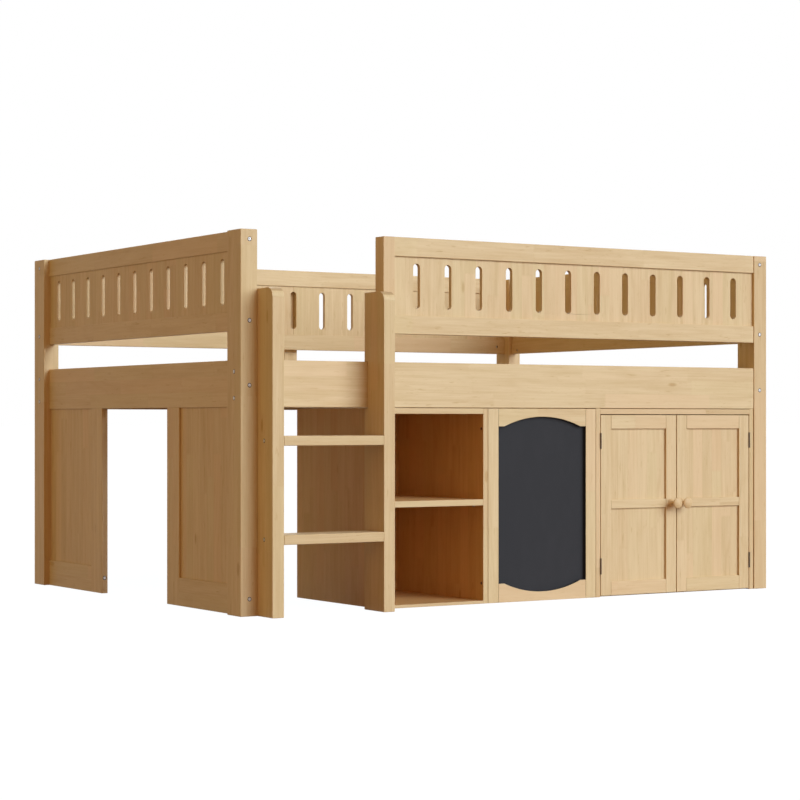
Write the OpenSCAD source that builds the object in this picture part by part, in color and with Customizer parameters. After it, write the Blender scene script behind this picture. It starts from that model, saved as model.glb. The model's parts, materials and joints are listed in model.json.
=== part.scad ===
// Half-height loft bed for a double mattress: four posts, a ladder at the front left,
// slotted guards all round, panelled left end, and a bookcase, a chalkboard and a
// two-door cupboard standing under the front rail.
// X runs along the bed, Y from front to back and Z up.

/* [Overall] */
// Length over the posts
bed_l = 2116; // [1980:1:2300]
// Width over the posts
bed_w = 1594; // [1460:1:1760]
// Height of the posts
bed_h = 1180; // [1140:1:1260]

/* [Posts] */
// Post size along the bed
post_x = 57; // [50:1:64]
// Post size across the bed
post_y = 88; // [80:1:100]

/* [Bed rails] */
// Height of the rails' underside above the floor
rail_z = 638; // [620:1:660]
// Height of each rail board
rail_h = 144; // [136:1:152]
// Thickness of the side rails
rail_t = 28; // [26:0.5:31]
// Set-back of the front rail behind the post face
rail_face = 3; // [1:0.5:6]
// Thickness of the end rails and end guards
end_t = 22; // [20:0.5:26]
// Set-back of the end rails behind the post face
end_face = 20; // [16:0.5:26]

/* [Guards] */
// Height of the guards' underside above the floor
guard_z = 872; // [850:1:890]
// Height of the guards' top rails
guard_top_h = 61; // [56:1:70]
// Height of the guards' bottom rails
guard_foot_h = 59; // [56:1:66]
// Thickness of the slotted boards
slat_board_t = 15; // [12:0.5:16]
// Set-back of a side guard's slotted board behind its frame
side_board_face = 7.5; // [5:0.5:8]
// Set-back of an end guard's slotted board behind its frame
end_board_face = 4; // [2.5:0.5:4.5]
// Width of each slot
slot_w = 25; // [16:1:32]
// Distance from a guard's top rail down to its slots
slot_top_in = 21; // [12:1:36]
// Distance from a guard's bottom rail up to its slots
slot_foot_in = 23; // [12:1:36]
// Pitch of the slots in the front guard
front_pitch = 120.7; // [100:0.1:140]
// Pitch of the slots in the end guards
end_pitch = 126.1; // [100:0.1:140]
// Pitch of the slots in the back guard
back_pitch = 128.6; // [100:0.1:140]
// Least distance from a guard's end to the centre of its first slot
slot_margin = 70; // [50:1:90]
// Width of the post that ends the front guard
guard_post_x = 42; // [36:1:50]
// Depth of the post that ends the front guard
guard_post_y = 50; // [46:1:56]
// Distance from the ladder to the post that ends the front guard
guard_post_gap = 17.5; // [6:0.5:40]

/* [Mattress deck] */
// Thickness of the slat bearers
bearer_t = 26; // [22:1:30]
// Height of the slat bearers
bearer_h = 115; // [108:1:118]
// Distance from a rail's underside up to its bearer's underside
bearer_up = 7; // [4:1:10]
// Width of each slat
slat_w = 80; // [60:1:90]
// Thickness of each slat
slat_t = 16; // [12:1:20]
// Number of slats
slat_n = 13; // [10:1:15]
// Width of the centre beam
beam_w = 26; // [20:1:40]
// Height of the centre beam
beam_h = 90; // [60:1:100]

/* [Ladder] */
// Width over the ladder's stiles
ladder_w = 436; // [400:1:480]
// Height of the stiles
ladder_h = 1000; // [900:1:1080]
// Thickness of the stiles
stile_t = 40; // [34:1:46]
// Reach of the ladder in front of the posts
ladder_out = 96; // [80:1:120]
// Reach of the stiles behind the post face, above and below the rail
ladder_in = 22.5; // [18:0.5:30]
// Radius of each stile's front top corner
stile_r = 32; // [10:1:40]
// Height of the lower rung's underside
rung_low_z = 220; // [180:1:260]
// Height of the upper rung's underside
rung_high_z = 520; // [480:1:540]
// Thickness of the rungs
rung_h = 30; // [26:1:40]
// Depth of the rungs
rung_y = 108; // [98:1:112]

/* [Left end below the bed] */
// Width of each closed part beside the way in
wing_w = 456; // [380:1:500]
// Width of the stile at the way in
wing_stile = 87; // [70:1:110]
// Height of the foot rail
wing_foot = 91; // [80:1:110]
// Thickness of the recessed boards
infill_t = 10; // [8:0.5:12]
// Set-back of the recessed boards behind their frame
infill_face = 7; // [5:0.5:8]

/* [Cabinets] */
// Distance from the ladder to the bookcase
cabinet_gap = 9.9; // [4:0.1:20]
// Width of the bookcase
bookcase_w = 410.6; // [340:0.1:440]
// Width of the chalkboard's frame
chalk_w = 439.8; // [400:0.1:460]
// Depth of the bookcase and the cupboard
cabinet_y = 537; // [420:1:600]
// Thickness of the sides and tops
board_t = 18; // [16:1:20]
// Thickness of the cabinets' bottoms
bottom_t = 10; // [8:1:18]
// Thickness of the cabinets' backs
back_t = 8; // [5:1:10]
// Distance that the backs stand in from the sides' rear edges
back_in = 12; // [6:1:20]
// Thickness of the bookcase's shelf
shelf_t = 20; // [16:1:24]
// Height of the bookcase shelf's underside
shelf_z = 320; // [280:1:360]
// Thickness of the cupboard's shelf
inner_shelf_t = 16; // [12:1:20]
// Distance of the cupboard's shelf behind the doors
inner_shelf_in = 40; // [25:1:80]

/* [Chalkboard] */
// Width of the frame's stiles
chalk_stile = 41.3; // [36:0.1:55]
// Height of the top rail at its shoulders
chalk_top = 59; // [54:1:70]
// Height of the foot rail at its shoulders
chalk_foot = 62; // [54:1:70]
// Rise of both arches
arch_rise = 32; // [20:1:38]
// Length of the flat shoulder beside each arch
shoulder = 23.2; // [15:0.1:35]
// Thickness of the frame
chalk_t = 24; // [23:0.5:28]
// Set-back of the board behind the frame's face
chalk_face = 13; // [10:0.5:14]
// Thickness of the board
chalk_board_t = 6; // [4:0.5:7]

/* [Doors] */
// Thickness of the doors
door_t = 20; // [19:0.5:24]
// Width of the doors' stiles
door_stile = 44.5; // [40:0.5:60]
// Height of the doors' top and foot rails
door_rail = 47; // [40:0.5:60]
// Height of the doors' middle rails
door_mid_h = 30; // [24:1:50]
// Height of the middle rails' centre above the floor
door_mid_z = 312.5; // [270:0.5:350]
// Gap under the doors
door_foot = 4; // [2:0.5:8]
// Gap above the doors and beside them
door_gap = 2.5; // [2.5:0.1:3.5]
// Gap between the two doors
meeting_gap = 3; // [2.5:0.1:5]
// Set-back of the door panels behind the frames' faces
door_panel_face = 7.5; // [6:0.5:10]
// Thickness of the door panels
door_panel_t = 6; // [4:0.5:7]
// Diameter of the knobs
knob_d = 38; // [30:1:40]
// Reach of the knobs in front of the doors
knob_l = 41; // [34:1:46]
// Distance from a door's meeting edge to its knob's centre
knob_in = 20.5; // [19:0.5:30]
// Height of each hinge
hinge_h = 54; // [48:1:76]
// Distance from a door's foot up to its lower hinge
hinge_up = 73; // [50:1:80]
// Distance from a door's top down to its upper hinge
hinge_down = 61; // [50:1:80]
// Width of each hinge leaf
leaf_w = 22; // [14:1:24]
// Diameter of the hinge knuckles
knuckle_d = 5; // [4.4:0.2:6.4]
// Diameter of the hinge pins
pin_d = 2.4; // [2:0.1:3]

/* [Fasteners] */
// Diameter of the frame bolts
bolt_d = 6; // [5:0.5:8]
// Diameter of the bolts' heads
head_d = 14; // [12:0.5:16]
// Thickness of the bolts' heads
head_t = 2.4; // [2:0.2:3]
// Diameter of the barrel nuts
nut_d = 10; // [10:0.5:12]
// Length of the barrel nuts
nut_l = 14; // [12:1:16]
// Distance from a rail's end to its barrel nut
nut_in = 38; // [30:1:44]
// Length of bolt beyond the middle of its nut
bolt_tail = 12; // [9:1:15]
// Diameter of the dowels
dowel_d = 8; // [6:1:10]
// Length of the dowels
dowel_l = 40; // [30:2:44]
// Diameter of the wood screws
screw_d = 4.5; // [4:0.5:5]
// Diameter of the screws' heads
screw_head_d = 9; // [8:0.5:10]

/* [Hidden] */
$fn = 48;

// Colours
pine = [0.87, 0.75, 0.59];
pine_warm = [0.84, 0.70, 0.52];
slate = [0.24, 0.24, 0.25];
steel = [0.74, 0.74, 0.76];
bronze = [0.25, 0.20, 0.15];

// Clearances
fit = 0.25;          // around a board in its groove
groove = 8;          // depth of the grooves
hole_fit = 0.4;      // around a bolt in wood, on the radius
thread_fit = 0.05;   // around a bolt in its nut, on the radius
nut_fit = 0.2;       // around a nut, a dowel, a pin or a screw in wood, on the radius
seam = 0.1;          // hairline where one board butts against another
pin_gap = 0.05;      // between a shelf and its pins
side_gap = 0.5;      // between the ladder and its post, and round the guard post's tongue
unit_gap = 1.6;      // between neighbouring cabinets
post_gap = 2.6;      // between the cupboard and its post
eps = 1;             // overshoot of a cut past a face

// Heights
rail_top = rail_z + rail_h;
guard_mid_z = [guard_z + guard_foot_h / 2, bed_h - guard_top_h / 2];
bolt_stagger = 16;   // shift of the guard bolts that would meet a crossing pair
guard_cross_z = [guard_mid_z[0] - bolt_stagger, guard_mid_z[1] + bolt_stagger];
end_bolt_up = 66;    // from an end rail's underside up to its bolts
side_bolt_up = 27;   // from a side rail's underside up to its lower bolts
side_bolt_down = 36; // from a side rail's top down to its upper bolts
end_rail_bolt_z = rail_z + end_bolt_up;
side_bolt_z = [rail_z + side_bolt_up, rail_top - side_bolt_down];
foot_bolt_z = 53;
bearer_z = rail_z + bearer_up;
deck_z = bearer_z + bearer_h;

// Lines across the bed, each measured in from its own outer face
side_bolt_y = rail_face + rail_t + bearer_t / 2;
back_face = side_bolt_y - rail_t / 2;
front_guard_bolt_y = rail_face + rail_t / 2;
end_mid = end_face + end_t / 2;
rail_in_y = rail_face + rail_t;
back_in_y = bed_w - back_face - rail_t;
end_in_x = end_face + end_t;
nut_half = nut_l / 2;
bolt_len = nut_in + bolt_tail;

// Places along the bed
ladder_x = post_x + side_gap;
ladder_x1 = ladder_x + ladder_w;
stile_mid = [ladder_x + stile_t / 2, ladder_x1 - stile_t / 2];
guard_x = ladder_x1 + guard_post_gap;
guard_x1 = guard_x + guard_post_x;
post_x1 = bed_l - post_x;

// Ladder
rung_mid_y = rung_y / 2 - ladder_out;
rung_zs = [rung_low_z, rung_high_z];
rail_pair_z = [rail_z + rail_h / 2 - bolt_stagger, rail_z + rail_h / 2 + bolt_stagger];
ladder_bite = 45;    // length of the fixing bolts inside a stile
notch_gap = 2;       // gap under the rail in a stile's notch

// Cabinets
cabinet_drop = 2;    // gap between the cabinets and the rail above
cabinet_h = rail_z - cabinet_drop;
cup_side_gap = 0.4;  // gap between the cupboard's sides and the rail above
cup_side_h = rail_z - cup_side_gap;
cabinet_y0 = rail_face;
cabinet_y1 = cabinet_y0 + cabinet_y;
back_y0 = cabinet_y1 - back_in - back_t;
book_x = ladder_x1 + cabinet_gap;
book_x1 = book_x + bookcase_w;
chalk_x = book_x1 + unit_gap;
chalk_x1 = chalk_x + chalk_w;
cup_x = chalk_x1 + unit_gap;
cup_x1 = post_x1 - post_gap;
inner_shelf_z = door_mid_z - inner_shelf_t / 2;

// Doors
door_y0 = cabinet_y0;
door_y1 = door_y0 + door_t;
door_z0 = door_foot;
door_z1 = cabinet_h - board_t - door_gap;
door_in_x = cup_x + board_t;
door_in_x1 = cup_x1 - board_t;
door_mid_x = (door_in_x + door_in_x1) / 2;
left_door_x = [door_in_x + door_gap, door_mid_x - meeting_gap / 2];
right_door_x = [door_mid_x + meeting_gap / 2, door_in_x1 - door_gap];
hinge_zs = [door_z0 + hinge_up, door_z1 - hinge_down - hinge_h];
leaf_gap = 0.05;     // from a hinge's axis plane to the face of each leaf
knuckle_out = 0.2;   // gap between a door's face and its knuckles
leaf_t = door_gap / 2 - leaf_gap;
hinge_y = door_y0 - knuckle_d / 2 - knuckle_out;
left_hinge_x = door_in_x + door_gap / 2;
right_hinge_x = door_in_x1 - door_gap / 2;
knob_x = [left_door_x[1] - knob_in, right_door_x[0] + knob_in];
knob_screw = 14;     // length of screw inside a knob

// Moves a drawing from the front left corner of the posts to the middle of the floor plan
module set_down() {
    translate([-bed_l / 2, -(bed_w - ladder_out) / 2, 0]) children();
}

// Draws in a corner's own frame: X inward along the bed, Y inward across it
module at_corner(right, back) {
    translate([right * bed_l, back * bed_w, 0]) mirror([right, 0, 0]) mirror([0, back, 0])
        children();
}

// A box from its lowest to its highest corner
module block(low, high) {
    translate(low) cube(high - low);
}

// Joint bolt, nut and holes. They start at the surface and run along +Z; the nut's hole
// opens towards +X.
socket_share = 0.72; // width of the hexagon socket over the bolt's diameter
module bolt(through) {
    difference() {
        union() {
            cylinder(d = head_d, h = head_t);
            cylinder(d = bolt_d, h = through + bolt_len);
        }
        translate([0, 0, -eps]) cylinder(d = bolt_d * socket_share, h = head_t + eps, $fn = 6);
    }
}

module head_hole(through) {
    translate([0, 0, -eps]) cylinder(d = head_d + 2 * nut_fit, h = head_t + eps);
    translate([0, 0, -eps]) cylinder(d = bolt_d + 2 * hole_fit, h = through + 2 * eps);
}

module barrel_nut(through) {
    translate([-nut_half, 0, through + nut_in]) rotate([0, 90, 0]) difference() {
        cylinder(d = nut_d, h = nut_l);
        translate([nut_d, 0, nut_half]) rotate([0, -90, 0])
            cylinder(d = bolt_d + 2 * thread_fit, h = 2 * nut_d);
    }
}

module nut_hole(through, reach) {
    translate([0, 0, through - eps]) cylinder(d = bolt_d + 2 * hole_fit, h = bolt_len + 3 * eps);
    translate([-nut_half, 0, through + nut_in]) rotate([0, 90, 0])
        cylinder(d = nut_d + 2 * nut_fit, h = nut_half + reach);
}

// The bolts that run across the bed into the end rails and end guards
module at_end_bolts(right, back) {
    guards = back == 1 ? guard_cross_z : guard_mid_z;
    feet = right == 1 ? [] : [foot_bolt_z];
    at_corner(right, back) for (z = concat(guards, [end_rail_bolt_z], feet))
        translate([end_mid, 0, z]) rotate([-90, 0, 0]) children();
}

// The bolts that run along the bed into the front bearer and the back rail
module at_side_bolts(right, back) {
    at_corner(right, back) for (z = side_bolt_z)
        translate([0, side_bolt_y, z]) rotate([0, 90, 0]) rotate([0, 0, back == 1 ? -90 : 90])
            children();
}

// The bolts that run along the bed into the side guards
module at_guard_bolts(right, back) {
    inset = back == 1 ? side_bolt_y : front_guard_bolt_y;
    at_corner(right, back) for (z = back == 1 ? guard_mid_z : guard_cross_z)
        translate([0, inset, z]) rotate([0, 90, 0]) rotate([0, 0, 90]) children();
}

// The bolts through the stiles beside the way in under the left end
module at_wing_bolts() {
    translate([end_mid, post_y + wing_w, foot_bolt_z]) rotate([90, 0, 0]) children();
    translate([end_mid, bed_w - post_y - wing_w, foot_bolt_z]) rotate([-90, 0, 0]) children();
}

// The bolts through the ladder's stiles into the rung ends, nut holes opening downwards
module at_rung_bolts() {
    for (z = rung_zs) {
        translate([ladder_x, rung_mid_y, z + rung_h / 2]) rotate([0, 90, 0]) children();
        translate([ladder_x1, rung_mid_y, z + rung_h / 2]) rotate([0, -90, 0])
            rotate([0, 0, 180]) children();
    }
}

// The bolts from behind the bearer through the rail into the stiles
module at_ladder_fixings() {
    for (x = stile_mid, z = rail_pair_z)
        translate([x, rail_in_y + bearer_t, z]) rotate([90, 0, 0]) children();
}

// Screws start at the surface and run along +Z
screw_head_h = 3;
screw_left = 8;      // wood left beyond a screw's point
screw_bite = 30;     // length of a screw inside the post
module screw(length) {
    cylinder(d = screw_head_d, h = screw_head_h);
    cylinder(d = screw_d, h = length);
}

module screw_hole(length) {
    translate([0, 0, -eps]) cylinder(d = screw_head_d + 2 * nut_fit, h = screw_head_h + eps);
    cylinder(d = screw_d + 2 * nut_fit, h = length + eps);
}

bearer_screw_l = bearer_t + rail_t - screw_left;
bearer_screw_z = bearer_z + bearer_h / 2;
bearer_end = 100;    // distance from a bearer's end to its first screw
function spread(from, to, count) =
    [for (i = [0 : count - 1]) from + bearer_end + i * (to - from - 2 * bearer_end) / (count - 1)];
front_screw_x = concat(spread(post_x, guard_x, 2), spread(guard_x1, post_x1, 5));
back_screw_x = spread(post_x, post_x1, 6);

module at_bearer_screws_front() {
    for (x = front_screw_x)
        translate([x, rail_in_y + bearer_t, bearer_screw_z]) rotate([90, 0, 0]) children();
}

module at_bearer_screws_back() {
    for (x = back_screw_x)
        translate([x, back_in_y - bearer_t, bearer_screw_z]) rotate([-90, 0, 0]) children();
}

guard_screw_l = guard_post_y - rail_in_y + rail_t - screw_left;
module at_guard_post_screws() {
    for (z = rail_pair_z)
        translate([(guard_x + guard_x1) / 2, guard_post_y, z]) rotate([90, 0, 0]) children();
}

back_post_screw_l = back_face + rail_t - screw_left;
module at_back_post_screws() {
    for (z = concat(rail_pair_z, guard_mid_z))
        translate([bed_l / 2, bed_w, z]) rotate([90, 0, 0]) children();
}

unit_screw_l = board_t + unit_gap + chalk_stile - groove - screw_left;
unit_screw_end = 66; // from a cabinet's foot and top to the screws
unit_screw_z = [unit_screw_end, cabinet_h - unit_screw_end];
unit_screw_y = cabinet_y0 + chalk_t / 2;
module at_unit_screws() {
    for (z = unit_screw_z) {
        translate([book_x1 - board_t, unit_screw_y, z]) rotate([0, 90, 0]) children();
        translate([cup_x + board_t, unit_screw_y, z]) rotate([0, -90, 0]) children();
    }
}

post_screw_l = board_t + post_gap + screw_bite;
post_screw_z = [200, 420];
post_screw_y = 50;
module at_post_screws() {
    for (z = post_screw_z)
        translate([cup_x1 - board_t, post_screw_y, z]) rotate([0, 90, 0]) children();
}

// Dowels are centred on the joint and lie along Z
dowel_side = 30;     // distance of a rung's dowels from its bolt
dowel_pair = 14;     // distance of a guard's dowels from the middle of its rail
module at_rung_dowels() {
    for (z = rung_zs, x = [ladder_x + stile_t, ladder_x1 - stile_t], s = [-1, 1])
        translate([x, rung_mid_y + s * dowel_side, z + rung_h / 2]) rotate([0, 90, 0]) children();
}

module at_guard_dowels() {
    for (z = guard_mid_z, s = [-1, 1])
        translate([guard_x1, front_guard_bolt_y, z + s * dowel_pair]) rotate([0, 90, 0]) children();
}

module at_wing_dowels() {
    for (y = [post_y + wing_w - wing_stile / 2, bed_w - post_y - wing_w + wing_stile / 2])
        translate([end_mid, y, rail_z]) children();
}

module dowel() {
    translate([0, 0, -dowel_l / 2]) cylinder(d = dowel_d, h = dowel_l);
}

module dowel_hole() {
    translate([0, 0, -dowel_l / 2 - eps])
        cylinder(d = dowel_d + 2 * nut_fit, h = dowel_l + 2 * eps);
}

// Posts
module post(right, back) {
    color(pine) set_down() difference() {
        at_corner(right, back) cube([post_x, post_y, bed_h]);
        at_end_bolts(right, back) head_hole(post_y);
        at_side_bolts(right, back) head_hole(post_x);
        if (right + back > 0) at_guard_bolts(right, back) head_hole(post_x);
        if (right == 1 && back == 0) at_post_screws() screw_hole(post_screw_l);
    }
}

module post_front_left() { post(0, 0); }
module post_front_right() { post(1, 0); }
module post_back_left() { post(0, 1); }
module post_back_right() { post(1, 1); }

// The short post that ends the front guard: it stands on the rail and laps behind it
module guard_post_solid(grow) {
    block([guard_x - grow, -grow, rail_top], [guard_x1 + grow, guard_post_y + grow, bed_h]);
    block([guard_x - grow, rail_in_y, bearer_z],
          [guard_x1 + grow, guard_post_y + grow, rail_top + eps]);
}

module guard_post() {
    color(pine) set_down() difference() {
        guard_post_solid(0);
        at_guard_post_screws() screw_hole(guard_screw_l);
        at_guard_dowels() dowel_hole();
    }
}

// The short post at the middle of the back. It ties the guard to the rail from outside.
module back_guard_post() {
    color(pine) set_down() difference() {
        block([(bed_l - post_x) / 2, back_in_y + rail_t, rail_z],
              [(bed_l + post_x) / 2, bed_w, bed_h]);
        at_back_post_screws() screw_hole(back_post_screw_l);
    }
}

// Bed rails
module front_side_rail() {
    color(pine) set_down() difference() {
        block([post_x, rail_face, rail_z], [post_x1, rail_in_y, rail_top]);
        at_ladder_fixings() head_hole(bearer_t + rail_t);
        at_guard_post_screws() screw_hole(guard_screw_l);
        at_bearer_screws_front() screw_hole(bearer_screw_l);
    }
}

module back_side_rail() {
    color(pine) set_down() difference() {
        block([post_x, back_in_y, rail_z], [post_x1, back_in_y + rail_t, rail_top]);
        for (right = [0, 1]) at_side_bolts(right, 1) nut_hole(post_x, rail_t);
        at_back_post_screws() screw_hole(back_post_screw_l);
        at_bearer_screws_back() screw_hole(bearer_screw_l);
    }
}

module end_rail(right) {
    difference() {
        at_corner(right, 0) block([end_face, post_y, rail_z], [end_in_x, bed_w - post_y, rail_top]);
        for (back = [0, 1]) at_end_bolts(right, back) nut_hole(post_y, end_t);
    }
}

module left_end_rail() {
    color(pine) set_down() difference() {
        end_rail(0);
        at_wing_dowels() dowel_hole();
        near_infill_block(fit);
        far_infill_block(fit);
    }
}

module right_end_rail() {
    color(pine) set_down() end_rail(1);
}

// Guards. A slotted board stands in grooves in the two rails. The outline is drawn with
// the guard's run along X and its height along Y, then stood up.
board_z0 = guard_z + guard_foot_h;
board_z1 = bed_h - guard_top_h;
slot_z = [board_z0 + slot_foot_in + slot_w / 2, board_z1 - slot_top_in - slot_w / 2];

module slotted_outline(run, pitch) {
    count = floor((run - 2 * slot_margin) / pitch) + 1;
    difference() {
        translate([0, board_z0 - groove]) square([run, board_z1 - board_z0 + 2 * groove]);
        for (i = [0 : count - 1]) translate([run / 2 + (i - (count - 1) / 2) * pitch, 0]) {
            for (z = slot_z) translate([0, z]) circle(d = slot_w);
            translate([-slot_w / 2, slot_z[0]]) square([slot_w, slot_z[1] - slot_z[0]]);
        }
    }
}

// A guard seen from outside in its own frame: X along its run from 0, Y inward
module guard_rails(run, thick, board_face) {
    difference() {
        union() {
            block([0, 0, guard_z], [run, thick, board_z0]);
            block([0, 0, board_z1], [run, thick, bed_h]);
        }
        block([-eps, board_face - fit, board_z0 - groove - fit],
              [run + eps, board_face + slat_board_t + fit, board_z1 + groove + fit]);
    }
}

module guard_board(run, pitch, board_face) {
    translate([0, board_face + slat_board_t, 0]) rotate([90, 0, 0])
        linear_extrude(slat_board_t) slotted_outline(run, pitch);
}

front_run = post_x1 - guard_x1;
back_run = bed_l - 2 * post_x;
end_run = bed_w - 2 * post_y;

module place_front_guard() { translate([guard_x1, rail_face, 0]) children(); }
module place_back_guard() { translate([post_x1, back_in_y + rail_t, 0]) rotate(180) children(); }
module place_left_guard() { translate([end_face, bed_w - post_y, 0]) rotate(-90) children(); }
module place_right_guard() { translate([bed_l - end_face, post_y, 0]) rotate(90) children(); }

module front_guard_rails() {
    color(pine) set_down() difference() {
        place_front_guard() guard_rails(front_run, rail_t, side_board_face);
        at_guard_bolts(1, 0) nut_hole(post_x, rail_t);
        at_guard_dowels() dowel_hole();
    }
}

module back_guard_rails() {
    color(pine) set_down() difference() {
        place_back_guard() guard_rails(back_run, rail_t, side_board_face);
        for (right = [0, 1]) at_guard_bolts(right, 1) nut_hole(post_x, rail_t);
        at_back_post_screws() screw_hole(back_post_screw_l);
    }
}

module left_guard_rails() {
    color(pine) set_down() difference() {
        place_left_guard() guard_rails(end_run, end_t, end_board_face);
        for (back = [0, 1]) at_end_bolts(0, back) nut_hole(post_y, end_t);
    }
}

module right_guard_rails() {
    color(pine) set_down() difference() {
        place_right_guard() guard_rails(end_run, end_t, end_board_face);
        for (back = [0, 1]) at_end_bolts(1, back) nut_hole(post_y, end_t);
    }
}

module front_guard_board() {
    color(pine_warm) set_down()
        place_front_guard() guard_board(front_run, front_pitch, side_board_face);
}

// The back board is in two halves that meet in front of the short post
module back_guard_board() {
    color(pine_warm) set_down() difference() {
        place_back_guard() guard_board(back_run, back_pitch, side_board_face);
        block([(bed_l - seam) / 2, back_in_y, guard_z], [(bed_l + seam) / 2, bed_w, bed_h]);
    }
}

module left_guard_board() {
    color(pine_warm) set_down()
        place_left_guard() guard_board(end_run, end_pitch, end_board_face);
}

module right_guard_board() {
    color(pine_warm) set_down()
        place_right_guard() guard_board(end_run, end_pitch, end_board_face);
}

// Mattress deck
module front_bearer() {
    difference() {
        block([post_x, rail_in_y, bearer_z], [post_x1, rail_in_y + bearer_t, deck_z]);
        block([guard_x - side_gap, 0, 0],
              [guard_x1 + side_gap, rail_in_y + bearer_t + eps, bed_h]);
        for (right = [0, 1]) at_side_bolts(right, 0) nut_hole(post_x, bearer_t);
        at_ladder_fixings() head_hole(bearer_t);
        at_bearer_screws_front() screw_hole(bearer_screw_l);
    }
}

module back_bearer() {
    difference() {
        block([post_x, back_in_y - bearer_t, bearer_z], [post_x1, back_in_y, deck_z]);
        at_bearer_screws_back() screw_hole(bearer_screw_l);
    }
}

module slat_bearers() {
    color(pine_warm) set_down() {
        front_bearer();
        back_bearer();
    }
}

hanger_t = 3;
hanger_l = 60;
hanger_h = 60;
beam_y = (rail_in_y + back_in_y) / 2;
beam_x0 = end_in_x + hanger_t + fit;
module centre_beam() {
    color(pine_warm) set_down()
        block([beam_x0, beam_y - beam_w / 2, deck_z - beam_h],
              [bed_l - beam_x0, beam_y + beam_w / 2, deck_z]);
}

module beam_hangers() {
    half = beam_w / 2 + fit;
    foot = deck_z - beam_h - hanger_t;
    color(steel) set_down() for (right = [0, 1]) at_corner(right, 0) difference() {
        block([end_in_x, beam_y - half - hanger_t, foot],
              [end_in_x + hanger_l, beam_y + half + hanger_t, foot + hanger_h]);
        block([end_in_x + hanger_t, beam_y - half, foot + hanger_t],
              [end_in_x + hanger_l + eps, beam_y + half, foot + hanger_h + eps]);
    }
}

slat_gap = (back_run - slat_n * slat_w) / (slat_n + 1);
slat_end = 2;        // gap between the slats and the rails
post_clear = 1;      // gap between the slats and the guard post
module bed_slats() {
    color(pine_warm) set_down() difference() {
        for (i = [0 : slat_n - 1]) translate([post_x + slat_gap + i * (slat_w + slat_gap), 0, 0])
            block([0, rail_in_y + slat_end, deck_z], [slat_w, back_in_y - slat_end, deck_z + slat_t]);
        guard_post_solid(post_clear);
    }
}

// Left end below the bed: on each side of the way in, a stile and a foot rail hold a
// recessed board that stands against the post and runs up into the end rail
infill_x = end_face + infill_face;
wing_in_y = post_y + wing_w - wing_stile;

module near_infill_block(grow) {
    block([infill_x - grow, post_y, wing_foot - groove - grow],
          [infill_x + infill_t + grow, wing_in_y + groove + grow, rail_z + groove + grow]);
}

module far_infill_block(grow) {
    translate([0, bed_w, 0]) mirror([0, 1, 0]) near_infill_block(grow);
}

module wing_frame() {
    block([end_face, wing_in_y, 0], [end_in_x, post_y + wing_w, rail_z]);
    block([end_face, post_y, 0], [end_in_x, wing_in_y - seam, wing_foot]);
}

module wing_holes() {
    for (back = [0, 1]) at_end_bolts(0, back) nut_hole(post_y, end_t);
    at_wing_bolts() head_hole(wing_stile);
    at_wing_bolts() nut_hole(wing_stile, end_t);
    at_wing_dowels() dowel_hole();
}

module near_wing_frame() {
    color(pine) set_down() difference() {
        wing_frame();
        wing_holes();
        near_infill_block(fit);
    }
}

module far_wing_frame() {
    color(pine) set_down() difference() {
        translate([0, bed_w, 0]) mirror([0, 1, 0]) wing_frame();
        wing_holes();
        far_infill_block(fit);
    }
}

module near_wing_infill() {
    color(pine_warm) set_down() near_infill_block(0);
}

module far_wing_infill() {
    color(pine_warm) set_down() far_infill_block(0);
}

// Ladder. The stiles hook over the rail and reach under it.
module stile_outline() {
    difference() {
        union() {
            translate([-ladder_out, 0]) square([ladder_out + ladder_in, ladder_h - stile_r]);
            translate([-ladder_out + stile_r, ladder_h - stile_r])
                square([ladder_out + ladder_in - stile_r, stile_r]);
            translate([-ladder_out + stile_r, ladder_h - stile_r]) circle(r = stile_r);
        }
        translate([rail_face, rail_z - notch_gap]) square([ladder_in, rail_h + notch_gap]);
    }
}

module ladder_stile(x) {
    color(pine) set_down() difference() {
        translate([x, 0, 0]) rotate([90, 0, 90]) linear_extrude(stile_t) stile_outline();
        at_rung_bolts() head_hole(stile_t);
        at_rung_dowels() dowel_hole();
        at_ladder_fixings()
            cylinder(d = bolt_d + 2 * nut_fit, h = bearer_t + rail_t + ladder_bite + eps);
    }
}

module ladder_stile_left() { ladder_stile(ladder_x); }
module ladder_stile_right() { ladder_stile(ladder_x1 - stile_t); }

module ladder_rung(z) {
    color(pine) set_down() difference() {
        block([ladder_x + stile_t, -ladder_out, z],
              [ladder_x1 - stile_t, rung_y - ladder_out, z + rung_h]);
        at_rung_bolts() nut_hole(stile_t, rung_h);
        at_rung_dowels() dowel_hole();
    }
}

module ladder_rung_upper() { ladder_rung(rung_high_z); }
module ladder_rung_lower() { ladder_rung(rung_low_z); }

// Fasteners
module at_corners() {
    for ($right = [0, 1], $back = [0, 1]) children();
}

module frame_bolts() {
    color(steel) set_down() {
        at_corners() {
            at_end_bolts($right, $back) bolt(post_y);
            at_side_bolts($right, $back) bolt(post_x);
            if ($right + $back > 0) at_guard_bolts($right, $back) bolt(post_x);
        }
        at_wing_bolts() bolt(wing_stile);
    }
}

module barrel_nuts() {
    color(steel) set_down() {
        at_corners() {
            at_end_bolts($right, $back) barrel_nut(post_y);
            at_side_bolts($right, $back) barrel_nut(post_x);
            if ($right + $back > 0) at_guard_bolts($right, $back) barrel_nut(post_x);
        }
        at_wing_bolts() barrel_nut(wing_stile);
        at_rung_bolts() barrel_nut(stile_t);
    }
}

module ladder_bolts() {
    color(steel) set_down() {
        at_rung_bolts() bolt(stile_t);
        at_ladder_fixings() bolt(bearer_t + rail_t + ladder_bite - bolt_len);
    }
}

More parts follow.
